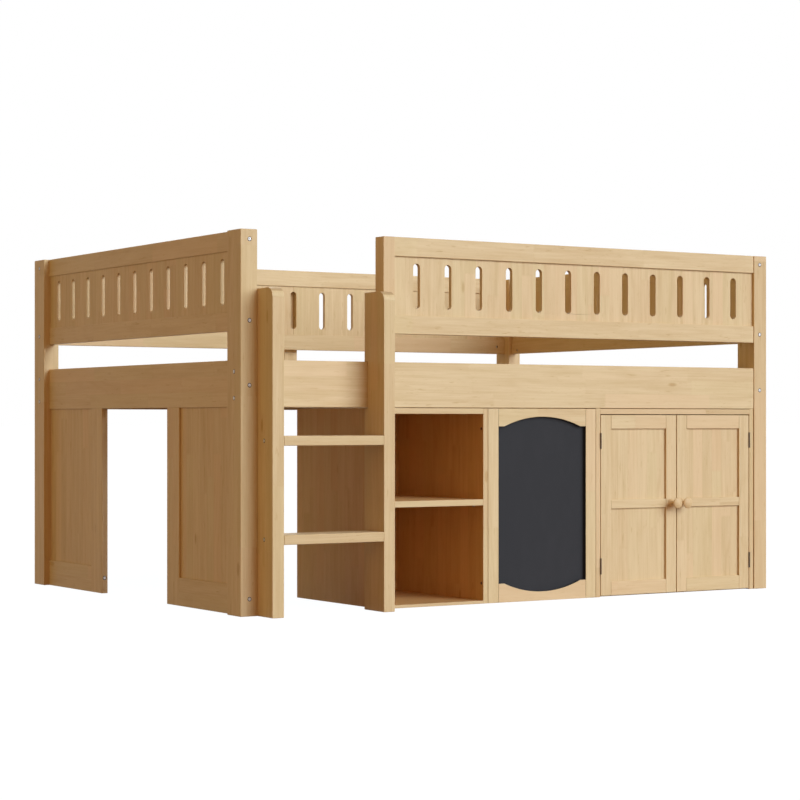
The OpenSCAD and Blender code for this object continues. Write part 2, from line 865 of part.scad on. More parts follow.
module wood_screws() {
    color(steel) set_down() {
        at_bearer_screws_front() screw(bearer_screw_l);
        at_bearer_screws_back() screw(bearer_screw_l);
        at_guard_post_screws() screw(guard_screw_l);
        at_back_post_screws() screw(back_post_screw_l);
        at_unit_screws() screw(unit_screw_l);
        at_post_screws() screw(post_screw_l);
    }
}

module dowels() {
    color(pine_warm) set_down() {
        at_rung_dowels() dowel();
        at_guard_dowels() dowel();
        at_wing_dowels() dowel();
    }
}

// Cabinets: sides stand on the floor, tops and bottoms lie between them
pin_r = 2.5;
pin_out = 8;
pin_in = 50;         // from a shelf's or a cabinet's edge to the pins
module at_pins(x0, x1, z, y_list) {
    for (y = y_list) {
        translate([x0, y, z - pin_r - pin_gap]) rotate([0, 90, 0]) children();
        translate([x1, y, z - pin_r - pin_gap]) rotate([0, -90, 0]) children();
    }
}

book_pin_y = [cabinet_y0 + pin_in, back_y0 - pin_in];
cup_pin_y = [door_y1 + inner_shelf_in + pin_in, back_y0 - pin_in];
module at_book_pins() {
    at_pins(book_x + board_t, book_x1 - board_t, shelf_z, book_pin_y) children();
}
module at_cup_pins() {
    at_pins(door_in_x, door_in_x1, inner_shelf_z, cup_pin_y) children();
}

module shelf_pin() {
    translate([0, 0, -pin_out]) cylinder(r = pin_r, h = 2 * pin_out);
}

module pin_hole() {
    translate([0, 0, -pin_out - eps]) cylinder(r = pin_r + nut_fit, h = pin_out + 2 * eps);
}

module cabinet_side(x, height) {
    block([x, cabinet_y0, 0], [x + board_t, cabinet_y1, height]);
}

module bookcase_left_side() {
    color(pine) set_down() difference() {
        cabinet_side(book_x, cabinet_h);
        at_book_pins() pin_hole();
    }
}

module bookcase_right_side() {
    color(pine) set_down() difference() {
        cabinet_side(book_x1 - board_t, cabinet_h);
        at_book_pins() pin_hole();
        at_unit_screws() screw_hole(unit_screw_l);
    }
}

module bookcase_top() {
    color(pine) set_down()
        block([book_x + board_t, cabinet_y0, cabinet_h - board_t],
              [book_x1 - board_t, cabinet_y1, cabinet_h]);
}

module bookcase_bottom() {
    color(pine) set_down()
        block([book_x + board_t, cabinet_y0, 0], [book_x1 - board_t, cabinet_y1, bottom_t]);
}

module bookcase_shelf() {
    color(pine) set_down()
        block([book_x + board_t + fit, cabinet_y0, shelf_z],
              [book_x1 - board_t - fit, back_y0 - fit, shelf_z + shelf_t]);
}

module bookcase_back() {
    color(pine_warm) set_down()
        block([book_x + board_t, back_y0, bottom_t],
              [book_x1 - board_t, back_y0 + back_t, cabinet_h - board_t]);
}

// Chalkboard: a frame with arched rails round a plain black board
chalk_mid = (chalk_x + chalk_x1) / 2;
chalk_in = chalk_w / 2 - chalk_stile;
arch_half = chalk_in - shoulder;
arch_r = (arch_half * arch_half + arch_rise * arch_rise) / (2 * arch_rise);

module arch_outline() {
    intersection() {
        translate([0, arch_rise - arch_r]) circle(r = arch_r, $fn = 180);
        translate([-chalk_in, -eps]) square([2 * chalk_in, arch_rise + 2 * eps]);
    }
}

module chalk_rail_outline(height) {
    difference() {
        translate([-chalk_in + seam, 0]) square([2 * (chalk_in - seam), height]);
        arch_outline();
    }
}

module chalkboard_block(grow) {
    low = chalk_foot - arch_rise - groove;
    high = cabinet_h - chalk_top + arch_rise + groove;
    block([chalk_x + chalk_stile - groove - grow, cabinet_y0 + chalk_face - grow, low - grow],
          [chalk_x1 - chalk_stile + groove + grow,
           cabinet_y0 + chalk_face + chalk_board_t + grow, high + grow]);
}

module chalkboard_frame() {
    stand = [chalk_mid, cabinet_y0 + chalk_t, 0];
    color(pine) set_down() difference() {
        union() {
            for (x = [chalk_x, chalk_x1 - chalk_stile])
                block([x, cabinet_y0, 0], [x + chalk_stile, cabinet_y0 + chalk_t, cabinet_h]);
            translate(stand + [0, 0, cabinet_h - chalk_top]) rotate([90, 0, 0])
                linear_extrude(chalk_t) chalk_rail_outline(chalk_top);
            translate(stand + [0, 0, chalk_foot]) rotate([90, 0, 0])
                linear_extrude(chalk_t) mirror([0, 1]) chalk_rail_outline(chalk_foot);
        }
        chalkboard_block(fit);
        at_unit_screws() screw_hole(unit_screw_l);
    }
}

module chalkboard() {
    color(slate) set_down() chalkboard_block(0);
}

// Cupboard
module cupboard_left_side() {
    color(pine) set_down() difference() {
        cabinet_side(cup_x, cup_side_h);
        at_cup_pins() pin_hole();
        at_unit_screws() screw_hole(unit_screw_l);
    }
}

module cupboard_right_side() {
    color(pine) set_down() difference() {
        cabinet_side(cup_x1 - board_t, cup_side_h);
        at_cup_pins() pin_hole();
        at_post_screws() screw_hole(post_screw_l);
    }
}

module cupboard_top() {
    color(pine) set_down()
        block([door_in_x, cabinet_y0, cabinet_h - board_t], [door_in_x1, cabinet_y1, cabinet_h]);
}

stop_gap = 1;        // gap between the closed doors and the cupboard's bottom
module cupboard_bottom() {
    color(pine) set_down()
        block([door_in_x, door_y1 + stop_gap, 0], [door_in_x1, cabinet_y1, bottom_t]);
}

module cupboard_shelf() {
    color(pine) set_down()
        block([door_in_x + fit, door_y1 + inner_shelf_in, inner_shelf_z],
              [door_in_x1 - fit, back_y0 - fit, inner_shelf_z + inner_shelf_t]);
}

module cupboard_back() {
    color(pine_warm) set_down()
        block([door_in_x, back_y0, bottom_t], [door_in_x1, back_y0 + back_t, cabinet_h - board_t]);
}

module shelf_pins() {
    color(steel) set_down() {
        at_book_pins() shelf_pin();
        at_cup_pins() shelf_pin();
    }
}

// Doors
function mid_z0() = door_mid_z - door_mid_h / 2;
function mid_z1() = door_mid_z + door_mid_h / 2;

module door_panel_blocks(x, grow) {
    x0 = x[0] + door_stile - groove - grow;
    x1 = x[1] - door_stile + groove + grow;
    y0 = door_y0 + door_panel_face - grow;
    y1 = door_y0 + door_panel_face + door_panel_t + grow;
    block([x0, y0, door_z0 + door_rail - groove - grow], [x1, y1, mid_z0() + groove + grow]);
    block([x0, y0, mid_z1() - groove - grow], [x1, y1, door_z1 - door_rail + groove + grow]);
}

module door_frame(x) {
    x0 = x[0] + door_stile;
    x1 = x[1] - door_stile;
    color(pine) set_down() difference() {
        union() {
            block([x[0], door_y0, door_z0], [x0, door_y1, door_z1]);
            block([x1, door_y0, door_z0], [x[1], door_y1, door_z1]);
            for (z = [[door_z0, door_z0 + door_rail], [mid_z0(), mid_z1()],
                      [door_z1 - door_rail, door_z1]])
                block([x0 + seam, door_y0, z[0]], [x1 - seam, door_y1, z[1]]);
        }
        door_panel_blocks(x, fit);
        at_knobs() translate([0, 0, -door_t - eps])
            cylinder(d = screw_d + 2 * nut_fit, h = door_t + 2 * eps);
    }
}

module at_knobs() {
    for (x = knob_x) translate([x, door_y0, door_mid_z]) rotate([90, 0, 0]) children();
}

// Half outline of a knob from its foot to its crown, as shares of its radius and reach
knob_outline = [
    [0, 0], [0.79, 0], [0.79, 0.035], [0.63, 0.085], [0.45, 0.145], [0.32, 0.22], [0.275, 0.29],
    [0.29, 0.37], [0.39, 0.46], [0.55, 0.57], [0.74, 0.68], [0.92, 0.77], [1, 0.82],
    [0.96, 0.865], [0.79, 0.925], [0.5, 0.975], [0, 1]
];

// Turned knob: a broad foot, a slim waist and a head that flares out to a low crown
module knob() {
    difference() {
        rotate_extrude()
            polygon([for (p = knob_outline) [p[0] * knob_d / 2, p[1] * knob_l]]);
        translate([0, 0, -eps]) cylinder(d = screw_d + 2 * nut_fit, h = knob_screw + 2 * eps);
    }
}

strike_l = 30;
strike_h = 14;
strike_t = 1.2;
strike_in = 3;       // from a door's meeting edge to its strike plate
strike_down = 4;     // from a door's top to its strike plate
strike_z = door_z1 - strike_h - strike_down;
catch_gap = 0.3;     // between the catch and the strike plates
knob_head_t = 2.5;

// Knob screw, hinge leaves with their middle knuckles, and strike plate of one door.
// side is 1 where the door lies to the right of its hinge.
module door_metalwork(x, hinge_x, knob, side) {
    near = side > 0 ? x[1] : x[0];
    color(bronze) set_down() {
        for (z = hinge_zs) hinge_half(hinge_x, z, side, 1);
        translate([knob, door_y1 + knob_head_t, door_mid_z]) rotate([90, 0, 0]) knob_bolt();
        translate([side > 0 ? near - strike_in - strike_l : near + strike_in, door_y1, strike_z])
            cube([strike_l, strike_t, strike_h]);
    }
}

module knob_bolt() {
    cylinder(d = screw_head_d, h = knob_head_t);
    cylinder(d = screw_d, h = knob_head_t + door_t + knob_screw);
}

// One half of a butt hinge. moving = 1 is the door's leaf with the middle knuckle;
// moving = 0 is the cupboard's leaf with the outer knuckles and the pin.
knuckle_gap = 0.3;
module hinge_half(hinge_x, z, side, moving) {
    third = hinge_h / 3;
    cuts = moving == 1 ? [[-eps, third], [2 * third, hinge_h + eps]]
                       : [[third - knuckle_gap, 2 * third + knuckle_gap]];
    spans = moving == 1 ? [[third, 2 * third]]
                        : [[0, third - knuckle_gap], [2 * third + knuckle_gap, hinge_h]];
    x0 = (moving == 1 ? side : -side) > 0 ? leaf_gap : -leaf_gap - leaf_t;
    translate([hinge_x, hinge_y, z]) difference() {
        union() {
            difference() {
                translate([x0, 0, 0]) cube([leaf_t, leaf_w + knuckle_d / 2, hinge_h]);
                for (c = cuts) translate([-knuckle_d, -knuckle_d, c[0]])
                    cube([2 * knuckle_d, 1.5 * knuckle_d + leaf_gap, c[1] - c[0]]);
            }
            for (s = spans) translate([0, 0, s[0]]) cylinder(d = knuckle_d, h = s[1] - s[0]);
            if (moving == 0) cylinder(d = pin_d, h = hinge_h);
        }
        if (moving == 1) translate([0, 0, third - eps])
            cylinder(d = pin_d + 2 * thread_fit, h = third + 2 * eps);
    }
}

module hinge_fixed_leaves() {
    color(bronze) set_down() for (z = hinge_zs) {
        hinge_half(left_hinge_x, z, 1, 0);
        hinge_half(right_hinge_x, z, -1, 0);
    }
}

module cupboard_catch() {
    depth = 18;
    height = 16;
    half = strike_l + strike_in + meeting_gap / 2;
    top = cabinet_h - board_t;
    front = door_y1 + strike_t + catch_gap;
    color(bronze) set_down() block([door_mid_x - half, front, top - height],
                                   [door_mid_x + half, front + depth, top]);
}

module left_door_frame() { door_frame(left_door_x); }
module right_door_frame() { door_frame(right_door_x); }
module left_door_panels() { color(pine_warm) set_down() door_panel_blocks(left_door_x, 0); }
module right_door_panels() { color(pine_warm) set_down() door_panel_blocks(right_door_x, 0); }
module left_door_knob() {
    color(pine) set_down() translate([knob_x[0], door_y0, door_mid_z]) rotate([90, 0, 0]) knob();
}
module right_door_knob() {
    color(pine) set_down() translate([knob_x[1], door_y0, door_mid_z]) rotate([90, 0, 0]) knob();
}
module left_door_metalwork() { door_metalwork(left_door_x, left_hinge_x, knob_x[0], 1); }
module right_door_metalwork() { door_metalwork(right_door_x, right_hinge_x, knob_x[1], -1); }

post_front_left();
post_front_right();
post_back_left();
post_back_right();
guard_post();
back_guard_post();
front_side_rail();
back_side_rail();
left_end_rail();
right_end_rail();
front_guard_rails();
front_guard_board();
back_guard_rails();
back_guard_board();
left_guard_rails();
left_guard_board();
right_guard_rails();
right_guard_board();
slat_bearers();
centre_beam();
beam_hangers();
bed_slats();
near_wing_frame();
near_wing_infill();
far_wing_frame();
far_wing_infill();
ladder_stile_left();
ladder_stile_right();
ladder_rung_upper();
ladder_rung_lower();
frame_bolts();
barrel_nuts();
ladder_bolts();
wood_screws();
dowels();
bookcase_left_side();
bookcase_right_side();
bookcase_top();
bookcase_bottom();
bookcase_shelf();
bookcase_back();
chalkboard_frame();
chalkboard();
cupboard_left_side();
cupboard_right_side();
cupboard_top();
cupboard_bottom();
cupboard_shelf();
cupboard_back();
shelf_pins();
cupboard_catch();
hinge_fixed_leaves();
left_door_frame();
left_door_panels();
left_door_knob();
left_door_metalwork();
right_door_frame();
right_door_panels();
right_door_knob();
right_door_metalwork();
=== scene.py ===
import json
import math
import random

import bmesh
import bpy
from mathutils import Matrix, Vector

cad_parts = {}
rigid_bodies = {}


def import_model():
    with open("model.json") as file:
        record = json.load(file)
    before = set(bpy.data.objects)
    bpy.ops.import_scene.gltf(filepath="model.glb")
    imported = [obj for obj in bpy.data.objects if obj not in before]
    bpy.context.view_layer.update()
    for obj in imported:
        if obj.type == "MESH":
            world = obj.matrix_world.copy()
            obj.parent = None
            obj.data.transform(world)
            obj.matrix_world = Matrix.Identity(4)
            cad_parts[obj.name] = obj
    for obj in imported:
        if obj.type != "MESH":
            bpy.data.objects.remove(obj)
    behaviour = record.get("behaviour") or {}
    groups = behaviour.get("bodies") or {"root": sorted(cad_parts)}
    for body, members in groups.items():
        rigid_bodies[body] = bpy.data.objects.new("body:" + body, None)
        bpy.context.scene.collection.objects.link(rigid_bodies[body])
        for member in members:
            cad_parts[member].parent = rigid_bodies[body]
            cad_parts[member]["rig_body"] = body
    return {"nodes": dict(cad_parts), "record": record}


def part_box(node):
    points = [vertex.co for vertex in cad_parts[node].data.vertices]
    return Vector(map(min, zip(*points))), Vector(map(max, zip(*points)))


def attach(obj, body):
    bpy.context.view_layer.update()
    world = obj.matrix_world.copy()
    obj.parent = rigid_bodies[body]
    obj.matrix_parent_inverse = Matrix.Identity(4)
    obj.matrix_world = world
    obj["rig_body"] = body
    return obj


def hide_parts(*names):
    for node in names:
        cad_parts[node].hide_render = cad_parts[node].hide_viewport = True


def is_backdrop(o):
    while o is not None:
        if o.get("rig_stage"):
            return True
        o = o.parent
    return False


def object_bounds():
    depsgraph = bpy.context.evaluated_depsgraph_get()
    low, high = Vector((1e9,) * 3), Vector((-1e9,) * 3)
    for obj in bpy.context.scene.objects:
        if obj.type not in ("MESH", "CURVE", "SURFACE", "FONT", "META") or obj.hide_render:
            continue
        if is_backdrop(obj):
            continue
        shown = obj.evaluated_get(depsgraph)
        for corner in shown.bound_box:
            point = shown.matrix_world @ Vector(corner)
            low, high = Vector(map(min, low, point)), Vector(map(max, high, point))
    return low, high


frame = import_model()
cad_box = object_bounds()
slot_of = {
    row["node"]: row["material_slot"] for row in frame["record"]["subparts"]
}
bpy.context.scene.view_settings.view_transform = "Standard"

# Posts
# Four square-edged pine posts, glued up from finger-jointed staves, planed, eased along
# their edges with a router, counterbored for the bolts, sanded and varnished.


class Field:
    """A number that varies over a surface. Operators on it add Math nodes."""

    def __init__(self, finish, socket):
        self.finish = finish
        self.socket = socket

    def __add__(self, other):
        return self.finish.math("ADD", self, other)

    def __sub__(self, other):
        return self.finish.math("SUBTRACT", self, other)

    def __rsub__(self, other):
        return self.finish.math("SUBTRACT", other, self)

    def __mul__(self, other):
        return self.finish.math("MULTIPLY", self, other)

    def __truediv__(self, other):
        return self.finish.math("DIVIDE", self, other)

    __radd__ = __add__
    __rmul__ = __mul__


class Finish:
    """The procedural nodes of one material or of the world."""

    def __init__(self, owner):
        owner.use_nodes = True
        self.owner = owner
        self.tree = owner.node_tree
        self.shader = self.tree.nodes.get("Principled BSDF")

    def feed(self, socket, value):
        if isinstance(value, Field):
            self.tree.links.new(value.socket, socket)
        else:
            socket.default_value = value

    def node(self, kind, settings=None, inputs=None, output=0):
        made = self.tree.nodes.new("ShaderNode" + kind)
        for key, value in (settings or {}).items():
            setattr(made, key, value)
        for key, value in (inputs or {}).items():
            self.feed(made.inputs[key], value)
        return Field(self, made.outputs[output])

    def math(self, operation, *values):
        return self.node("Math", {"operation": operation}, dict(enumerate(values)))

    def limit(self, value):
        """The value held between 0 and 1."""
        return self.node(
            "Math", {"operation": "ADD", "use_clamp": True}, {0: value, 1: 0.0}
        )

    def rise(self, value, start, stop):
        """0 below start, 1 above stop and a smooth step between them."""
        return self.node(
            "MapRange",
            {"interpolation_type": "SMOOTHSTEP"},
            {"Value": value, "From Min": start, "From Max": stop},
        )

    def vector(self, x, y, z=0.0):
        return self.node("CombineXYZ", None, {0: x, 1: y, 2: z})

    def split(self, vector):
        parts = self.tree.nodes.new("ShaderNodeSeparateXYZ")
        self.feed(parts.inputs[0], vector)
        return [Field(self, out) for out in parts.outputs]

    def noise(self, place, detail, roughness=0.5):
        return self.node(
            "TexNoise",
            None,
            {"Vector": place, "Scale": 1.0, "Detail": detail, "Roughness": roughness},
        )

    def chance(self, x, y):
        """Three random numbers for the cell numbered x, y."""
        drawn = self.node(
            "TexWhiteNoise",
            {"noise_dimensions": "3D"},
            {"Vector": self.vector(x, y)},
            output=1,
        )
        return self.split(drawn)

    def mix(self, share, first, second, blend="MIX"):
        return self.node(
            "Mix",
            {"data_type": "RGBA", "blend_type": blend},
            {0: share, 6: first, 7: second},
            output=2,
        )

    def stored(self, name):
        """A number that the mesh stores for each face."""
        return self.node("Attribute", {"attribute_name": name}, output=2)

    def object_place(self):
        """The place in the object's own metres, as x, y and z."""
        return self.split(self.node("TexCoord", output=3))

    def seen(self):
        """1 where the eye sees a thing itself, in a mirror or through glass."""
        rays = [self.node("LightPath", output=f"Is {kind} Ray")
                for kind in ("Camera", "Glossy", "Transmission")]
        return self.limit(rays[0] + rays[1] + rays[2])

    def bump(self, height, distance, strength):
        inputs = {"Height": height, "Distance": distance, "Strength": strength}
        self.set("Normal", self.node("Bump", None, inputs))

    def set(self, socket, value):
        self.feed(self.shader.inputs[socket], value)


def new_finish(name):
    return Finish(bpy.data.materials.new(name))


STAVE = 0.045
FINGER = 0.0022
RING_STEP = 0.0056
END_GRAIN = (0.36, 0.19, 0.075, 1.0)
# Painted shade: a darker, redder tint multiplied into cabinet faces that lie in shade
PAINTED_INNER_SHADE = (0.95, 0.75, 0.55, 1.0)
# Near black for the inner edges of the chalkboard frame's opening
OPENING_EDGE_BLACK = (0.022, 0.021, 0.022, 1.0)


def pine(name, pale, deep_tone, warm, cool, stave_length, rough, ring_share, gloss):
    """Solid pine glued up from finger-jointed staves, read from the stored grain."""
    wood = new_finish(name)
    place = wood.node("Attribute", {"attribute_name": "grain"}, output=1)
    along, across, deep = wood.split(place)
    strip = wood.math("FLOOR", across / STAVE)
    strip_luck = wood.chance(strip, 7.0)[0]
    finger = wood.math("PINGPONG", across, FINGER) * 4.0
    run = along + strip_luck * stave_length + finger
    piece = wood.math("FLOOR", run / stave_length)
    tone, hue, shift = wood.chance(strip, piece)

    # Growth rings: circles round a pith outside the stave, bent by a slow noise
    side = (wood.math("FRACT", across / STAVE) - 0.5) * STAVE + (hue - 0.5) * 0.07
    depth = deep + 0.012 + tone * 0.05
    bend = wood.noise(
        wood.vector(along * 1.6 + shift * 40.0, across * 9.0, deep * 9.0), 1.0
    )
    radius = wood.math("SQRT", side * side + depth * depth) + bend * 0.05
    ring = wood.math("SINE", radius * (2 * math.pi / RING_STEP)) * 0.5 + 0.5
    ring = ring * ring * (0.35 + shift)

    # Figure along the grain, from broad bands to fibres, flecks and small marks
    broad = wood.noise(
        wood.vector(run * 3.0 + shift * 30.0, across * 48.0, deep * 48.0), 3.0
    )
    streak = wood.noise(wood.vector(run * 7.0, across * 190.0, deep * 190.0), 3.0, 0.6)
    fibre = wood.noise(wood.vector(run * 40.0, across * 900.0, deep * 900.0), 1.0)
    dash = wood.noise(
        wood.vector(run * 55.0, across * 520.0, deep * 520.0 + shift * 20.0), 1.0
    )
    fleck = wood.rise(dash, 0.70, 0.78)
    blemish = wood.noise(
        wood.vector(run * 20.0, across * 125.0, deep * 125.0 + shift * 50.0), 2.0, 0.55
    )
    mark = wood.rise(blemish, 0.64, 0.76)
    knots = wood.node(
        "TexVoronoi",
        None,
        {"Vector": wood.vector(along * 2.6, across * 8.0, deep * 8.0), "Scale": 1.0},
    )
    knot = 1.0 - wood.rise(knots, 0.03, 0.075)

    # Glue lines between strips and at the finger joints
    edge = wood.math("ABSOLUTE", wood.math("FRACT", across / STAVE) - 0.5)
    end = wood.math("ABSOLUTE", wood.math("FRACT", run / stave_length) - 0.5)
    glue = wood.limit(wood.rise(edge, 0.488, 0.497) + wood.rise(end, 0.4978, 0.4995))

    share = (
        0.20
        + (tone - 0.5) * 0.22
        + (broad - 0.5) * 0.86
        + ring * ring_share
        + (streak - 0.5) * 0.76
        + (fibre - 0.5) * 0.20
        + fleck * 0.50
        + mark * 0.48
        + glue * 0.22
        + knot * 0.9
    )
    colour = wood.mix(wood.limit(share), pale, deep_tone)
    colour = wood.mix(wood.rise(hue, 0.62, 1.0) * 0.40, colour, warm)
    colour = wood.mix(wood.rise(hue, 0.38, 0.0) * 0.30, colour, cool)
    cut_end = wood.stored("end_grain") * (0.35 + 0.25 * streak)
    colour = wood.mix(cut_end, colour, END_GRAIN)
    # Painted shade: faces that store a share of it, inside the cabinets and on the
    # bookcase's outer faces under the bed, are multiplied darker and redder
    colour = wood.mix(wood.stored("inner_shade_share"), colour, PAINTED_INNER_SHADE, blend="MULTIPLY")
    # Where a face stores it, the inner edges of the chalkboard frame's opening are
    # coloured near black like the board
    dark_opening_edge = wood.stored("dark_opening_edge")
    wood.set("Base Color", wood.mix(dark_opening_edge, colour, OPENING_EDGE_BLACK))
    wood.set(
        "Roughness",
        rough + (fibre - 0.5) * 0.12 + (broad - 0.5) * 0.10 + dark_opening_edge * 0.2,
    )
    wood.set("Specular IOR Level", gloss)
    relief = ring * 0.25 + fibre * 0.5 + streak * 0.4 - fleck * 0.6 - glue * 0.5
    wood.bump(relief, distance=0.00022, strength=0.6)
    return wood.owner


wood_finishes = {
    "pine_frame": pine(
        "varnished_pine",
        pale=(0.715, 0.535, 0.302, 1.0),
        deep_tone=(0.540, 0.345, 0.155, 1.0),
        warm=(0.735, 0.500, 0.283, 1.0),
        cool=(0.665, 0.512, 0.256, 1.0),
        stave_length=0.46,
        rough=0.46,
        ring_share=0.10,
        gloss=0.18,
    )
}


def only(piece):
    """Selects one object and makes it active, with nothing else selected."""
    bpy.ops.object.select_all(action="DESELECT")
    piece.select_set(True)
    bpy.context.view_layer.objects.active = piece


def islands(shape):
    """The vertices of each separate board in a mesh."""
    seen = set()
    for start in shape.verts:
        if start in seen:
            continue
        board, queue = [], [start]
        seen.add(start)
        while queue:
            here = queue.pop()
            board.append(here)
            for line in here.link_edges:
                other = line.other_vert(here)
                if other not in seen:
                    seen.add(other)
                    queue.append(other)
        yield board


luck = random.Random(1180)
FACES_ALONG = 0.7


def lay_grain(piece, along):
    """Stores where each point lies in its board: along the grain, across and deep."""
    shape = bmesh.new()
    shape.from_mesh(piece.data)
    grain = shape.verts.layers.float_vector.new("grain")
    ends = shape.faces.layers.float.new("end_grain")
    for board in islands(shape):
        low = [min(v.co[i] for v in board) for i in range(3)]
        size = [max(v.co[i] for v in board) - low[i] for i in range(3)]
        order = sorted(range(3), key=lambda i: -size[i])
        if along is not None:
            axis = "XYZ".index(along)
            order.remove(axis)
            order.insert(0, axis)
        width = size[order[1]]
        fit = STAVE * max(1, round(width / STAVE)) / width
        shift = (luck.uniform(0, 9), STAVE * luck.randrange(90), luck.uniform(0, 3))
        for v in board:
            place = [v.co[i] - low[i] for i in order]
            place[1] *= fit
            v[grain] = Vector(place) + Vector(shift)
            for face in v.link_faces:
                face[ends] = float(abs(face.normal[order[0]]) > FACES_ALONG)
    shape.to_mesh(piece.data)
    shape.free()


SAME_POINT = 1e-6
FLAT_TURN = math.radians(0.6)
SHARP_TURN = math.radians(50)
SHORT_EDGE = 0.009


def merged_copy(node, ending):
    """A copy of a node's mesh with shared corners and with flat faces in one piece."""
    piece = bpy.data.objects.new(node + ending, frame["nodes"][node].data.copy())
    bpy.context.scene.collection.objects.link(piece)
    only(piece)
    bpy.ops.object.mode_set(mode="EDIT")
    bpy.ops.mesh.select_all(action="SELECT")
    bpy.ops.mesh.remove_doubles(threshold=SAME_POINT)
    bpy.ops.mesh.dissolve_limited(angle_limit=FLAT_TURN)
    bpy.ops.mesh.select_all(action="DESELECT")
    bpy.ops.object.mode_set(mode="OBJECT")
    return piece


def planed(node, eased, along=None, every_edge=False):
    """A wooden node's own shape with its long edges eased and its grain laid."""
    piece = merged_copy(node, "_wood")
    shape = bmesh.new()
    shape.from_mesh(piece.data)
    weight = shape.edges.layers.float.new("bevel_weight_edge")
    for line in shape.edges:
        sharp = len(line.link_faces) == 2 and line.calc_face_angle() > SHARP_TURN
        line[weight] = float(sharp and (every_edge or line.calc_length() > SHORT_EDGE))
    shape.to_mesh(piece.data)
    shape.free()
    easing = piece.modifiers.new("eased", "BEVEL")
    easing.width = eased
    easing.segments = 3
    easing.limit_method = "WEIGHT"
    easing.use_clamp_overlap = False
    bpy.ops.object.modifier_apply(modifier=easing.name)
    lay_grain(piece, along)
    bpy.ops.object.shade_smooth_by_angle(angle=math.radians(32))
    flats = piece.modifiers.new("flats", "WEIGHTED_NORMAL")
    flats.keep_sharp = True
    flats.weight = 100
    bpy.ops.object.modifier_apply(modifier=flats.name)
    piece.data.materials.clear()
    piece.data.materials.append(wood_finishes[slot_of[node]])
    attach(piece, frame["nodes"][node]["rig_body"])
    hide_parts(node)
    return piece


for corner in ("front_left", "front_right", "back_left", "back_right"):
    planed("post_" + corner, eased=0.0019, along="Z")

# Bed rails
# Two deep side rails and two deep end rails of the same varnished pine. Barrel nuts in
# their ends take the bolts that come through the posts.
for node in (
    "front_side_rail", "back_side_rail", "left_end_rail", "right_end_rail"
):
    planed(node, eased=0.0018)

# Guards
# Each guard is a top and a foot rail with a thinner board in their grooves. The board
# is glued up from upright staves and its row of slots is routed right through.
wood_finishes["pine_board"] = pine(
    "varnished_board",
    pale=(0.712, 0.530, 0.298, 1.0),
    deep_tone=(0.530, 0.335, 0.148, 1.0),
    warm=(0.730, 0.492, 0.276, 1.0),
    cool=(0.655, 0.510, 0.258, 1.0),
    stave_length=0.62,
    rough=0.48,
    ring_share=0.12,
    gloss=0.18,
)
for side in ("front", "back", "left", "right"):
    planed(side + "_guard_rails", eased=0.0018)
    planed(side + "_guard_board", eased=0.0012, along="Z", every_edge=True)

# Short posts
# The one beside the way in stands on the front rail, laps down behind it and carries
# the end of the front guard on dowels. The other ties the back guard to its rail from
# outside.
for node in ("guard_post", "back_guard_post"):
    planed(node, eased=0.0020, along="Z")

# Mattress deck
# Plain planed pine: bearers screwed to the side rails, a beam on edge down the middle
# in two folded steel hangers, and loose slats across them all.
wood_finishes["deck_pine"] = pine(
    "plain_pine",
    pale=(0.760, 0.585, 0.370, 1.0),
    deep_tone=(0.560, 0.360, 0.185, 1.0),
    warm=(0.720, 0.500, 0.280, 1.0),
    cool=(0.660, 0.560, 0.340, 1.0),
    stave_length=0.85,
    rough=0.66,
    ring_share=0.16,
    gloss=0.12,
)
for node in ("slat_bearers", "centre_beam", "bed_slats"):
    planed(node, eased=0.0015)


# Painted shade: the dark colour put on the rounded rims of the bolt heads
RIM_SHADE_PAINT = (0.045, 0.035, 0.025, 1.0)


def metal(name, bright, dull, rough, streaks, metallic):
    """Plated metal with fine scratches, dulled patches and painted shade where a face
    stores it.
    """
    plate = new_finish(name)
    x, y, z = plate.object_place()
    patch = plate.noise(plate.vector(x * 90.0, y * 90.0, z * 90.0), 3.0)
    scratch = plate.noise(
        plate.vector(x * streaks, y * streaks, z * streaks * 6.0), 2.0, 0.6
    )
    worn = plate.limit((patch - 0.35) * 1.6)
    plating = plate.mix(worn, dull, bright)
    # Painted shade where a face stores it: the rims of the bolt heads
    plate.set("Base Color", plate.mix(plate.stored("rim_shade"), plating, RIM_SHADE_PAINT))
    plate.set("Roughness", rough + (scratch - 0.5) * 0.22 + (patch - 0.5) * 0.15)
    plate.set("Metallic", metallic)
    plate.bump(scratch, distance=0.00004, strength=0.5)
    return plate.owner


def coat_node(node, finish):
    """Gives a node that keeps its CAD shape a finish of its own."""
    for place in frame["nodes"][node].material_slots:
        place.material = finish


zinc = metal(
    "zinc_plate",
    bright=(0.56, 0.56, 0.57, 1.0),
    dull=(0.34, 0.34, 0.35, 1.0),
    rough=0.40,
    streaks=700.0,
    metallic=0.6,
)
coat_node("beam_hangers", zinc)

# Left end below the bed
# On each side of the way in, a stile and a foot rail hold a recessed board of upright
# staves that runs up into the end rail and stands against the post.
for side in ("near", "far"):
    planed(side + "_wing_frame", eased=0.0018)
    planed(side + "_wing_infill", eased=0.0010, along="Z")

# Ladder
# Two wide stiles, cut out to hook over the front rail, with their upper front corner
# rounded on the band saw, and two deep rungs bolted and dowelled between them.
for side in ("left", "right"):
    planed("ladder_stile_" + side, eased=0.0021, along="Z")
for level in ("upper", "lower"):
    planed("ladder_rung_" + level, eased=0.0024, along="X")
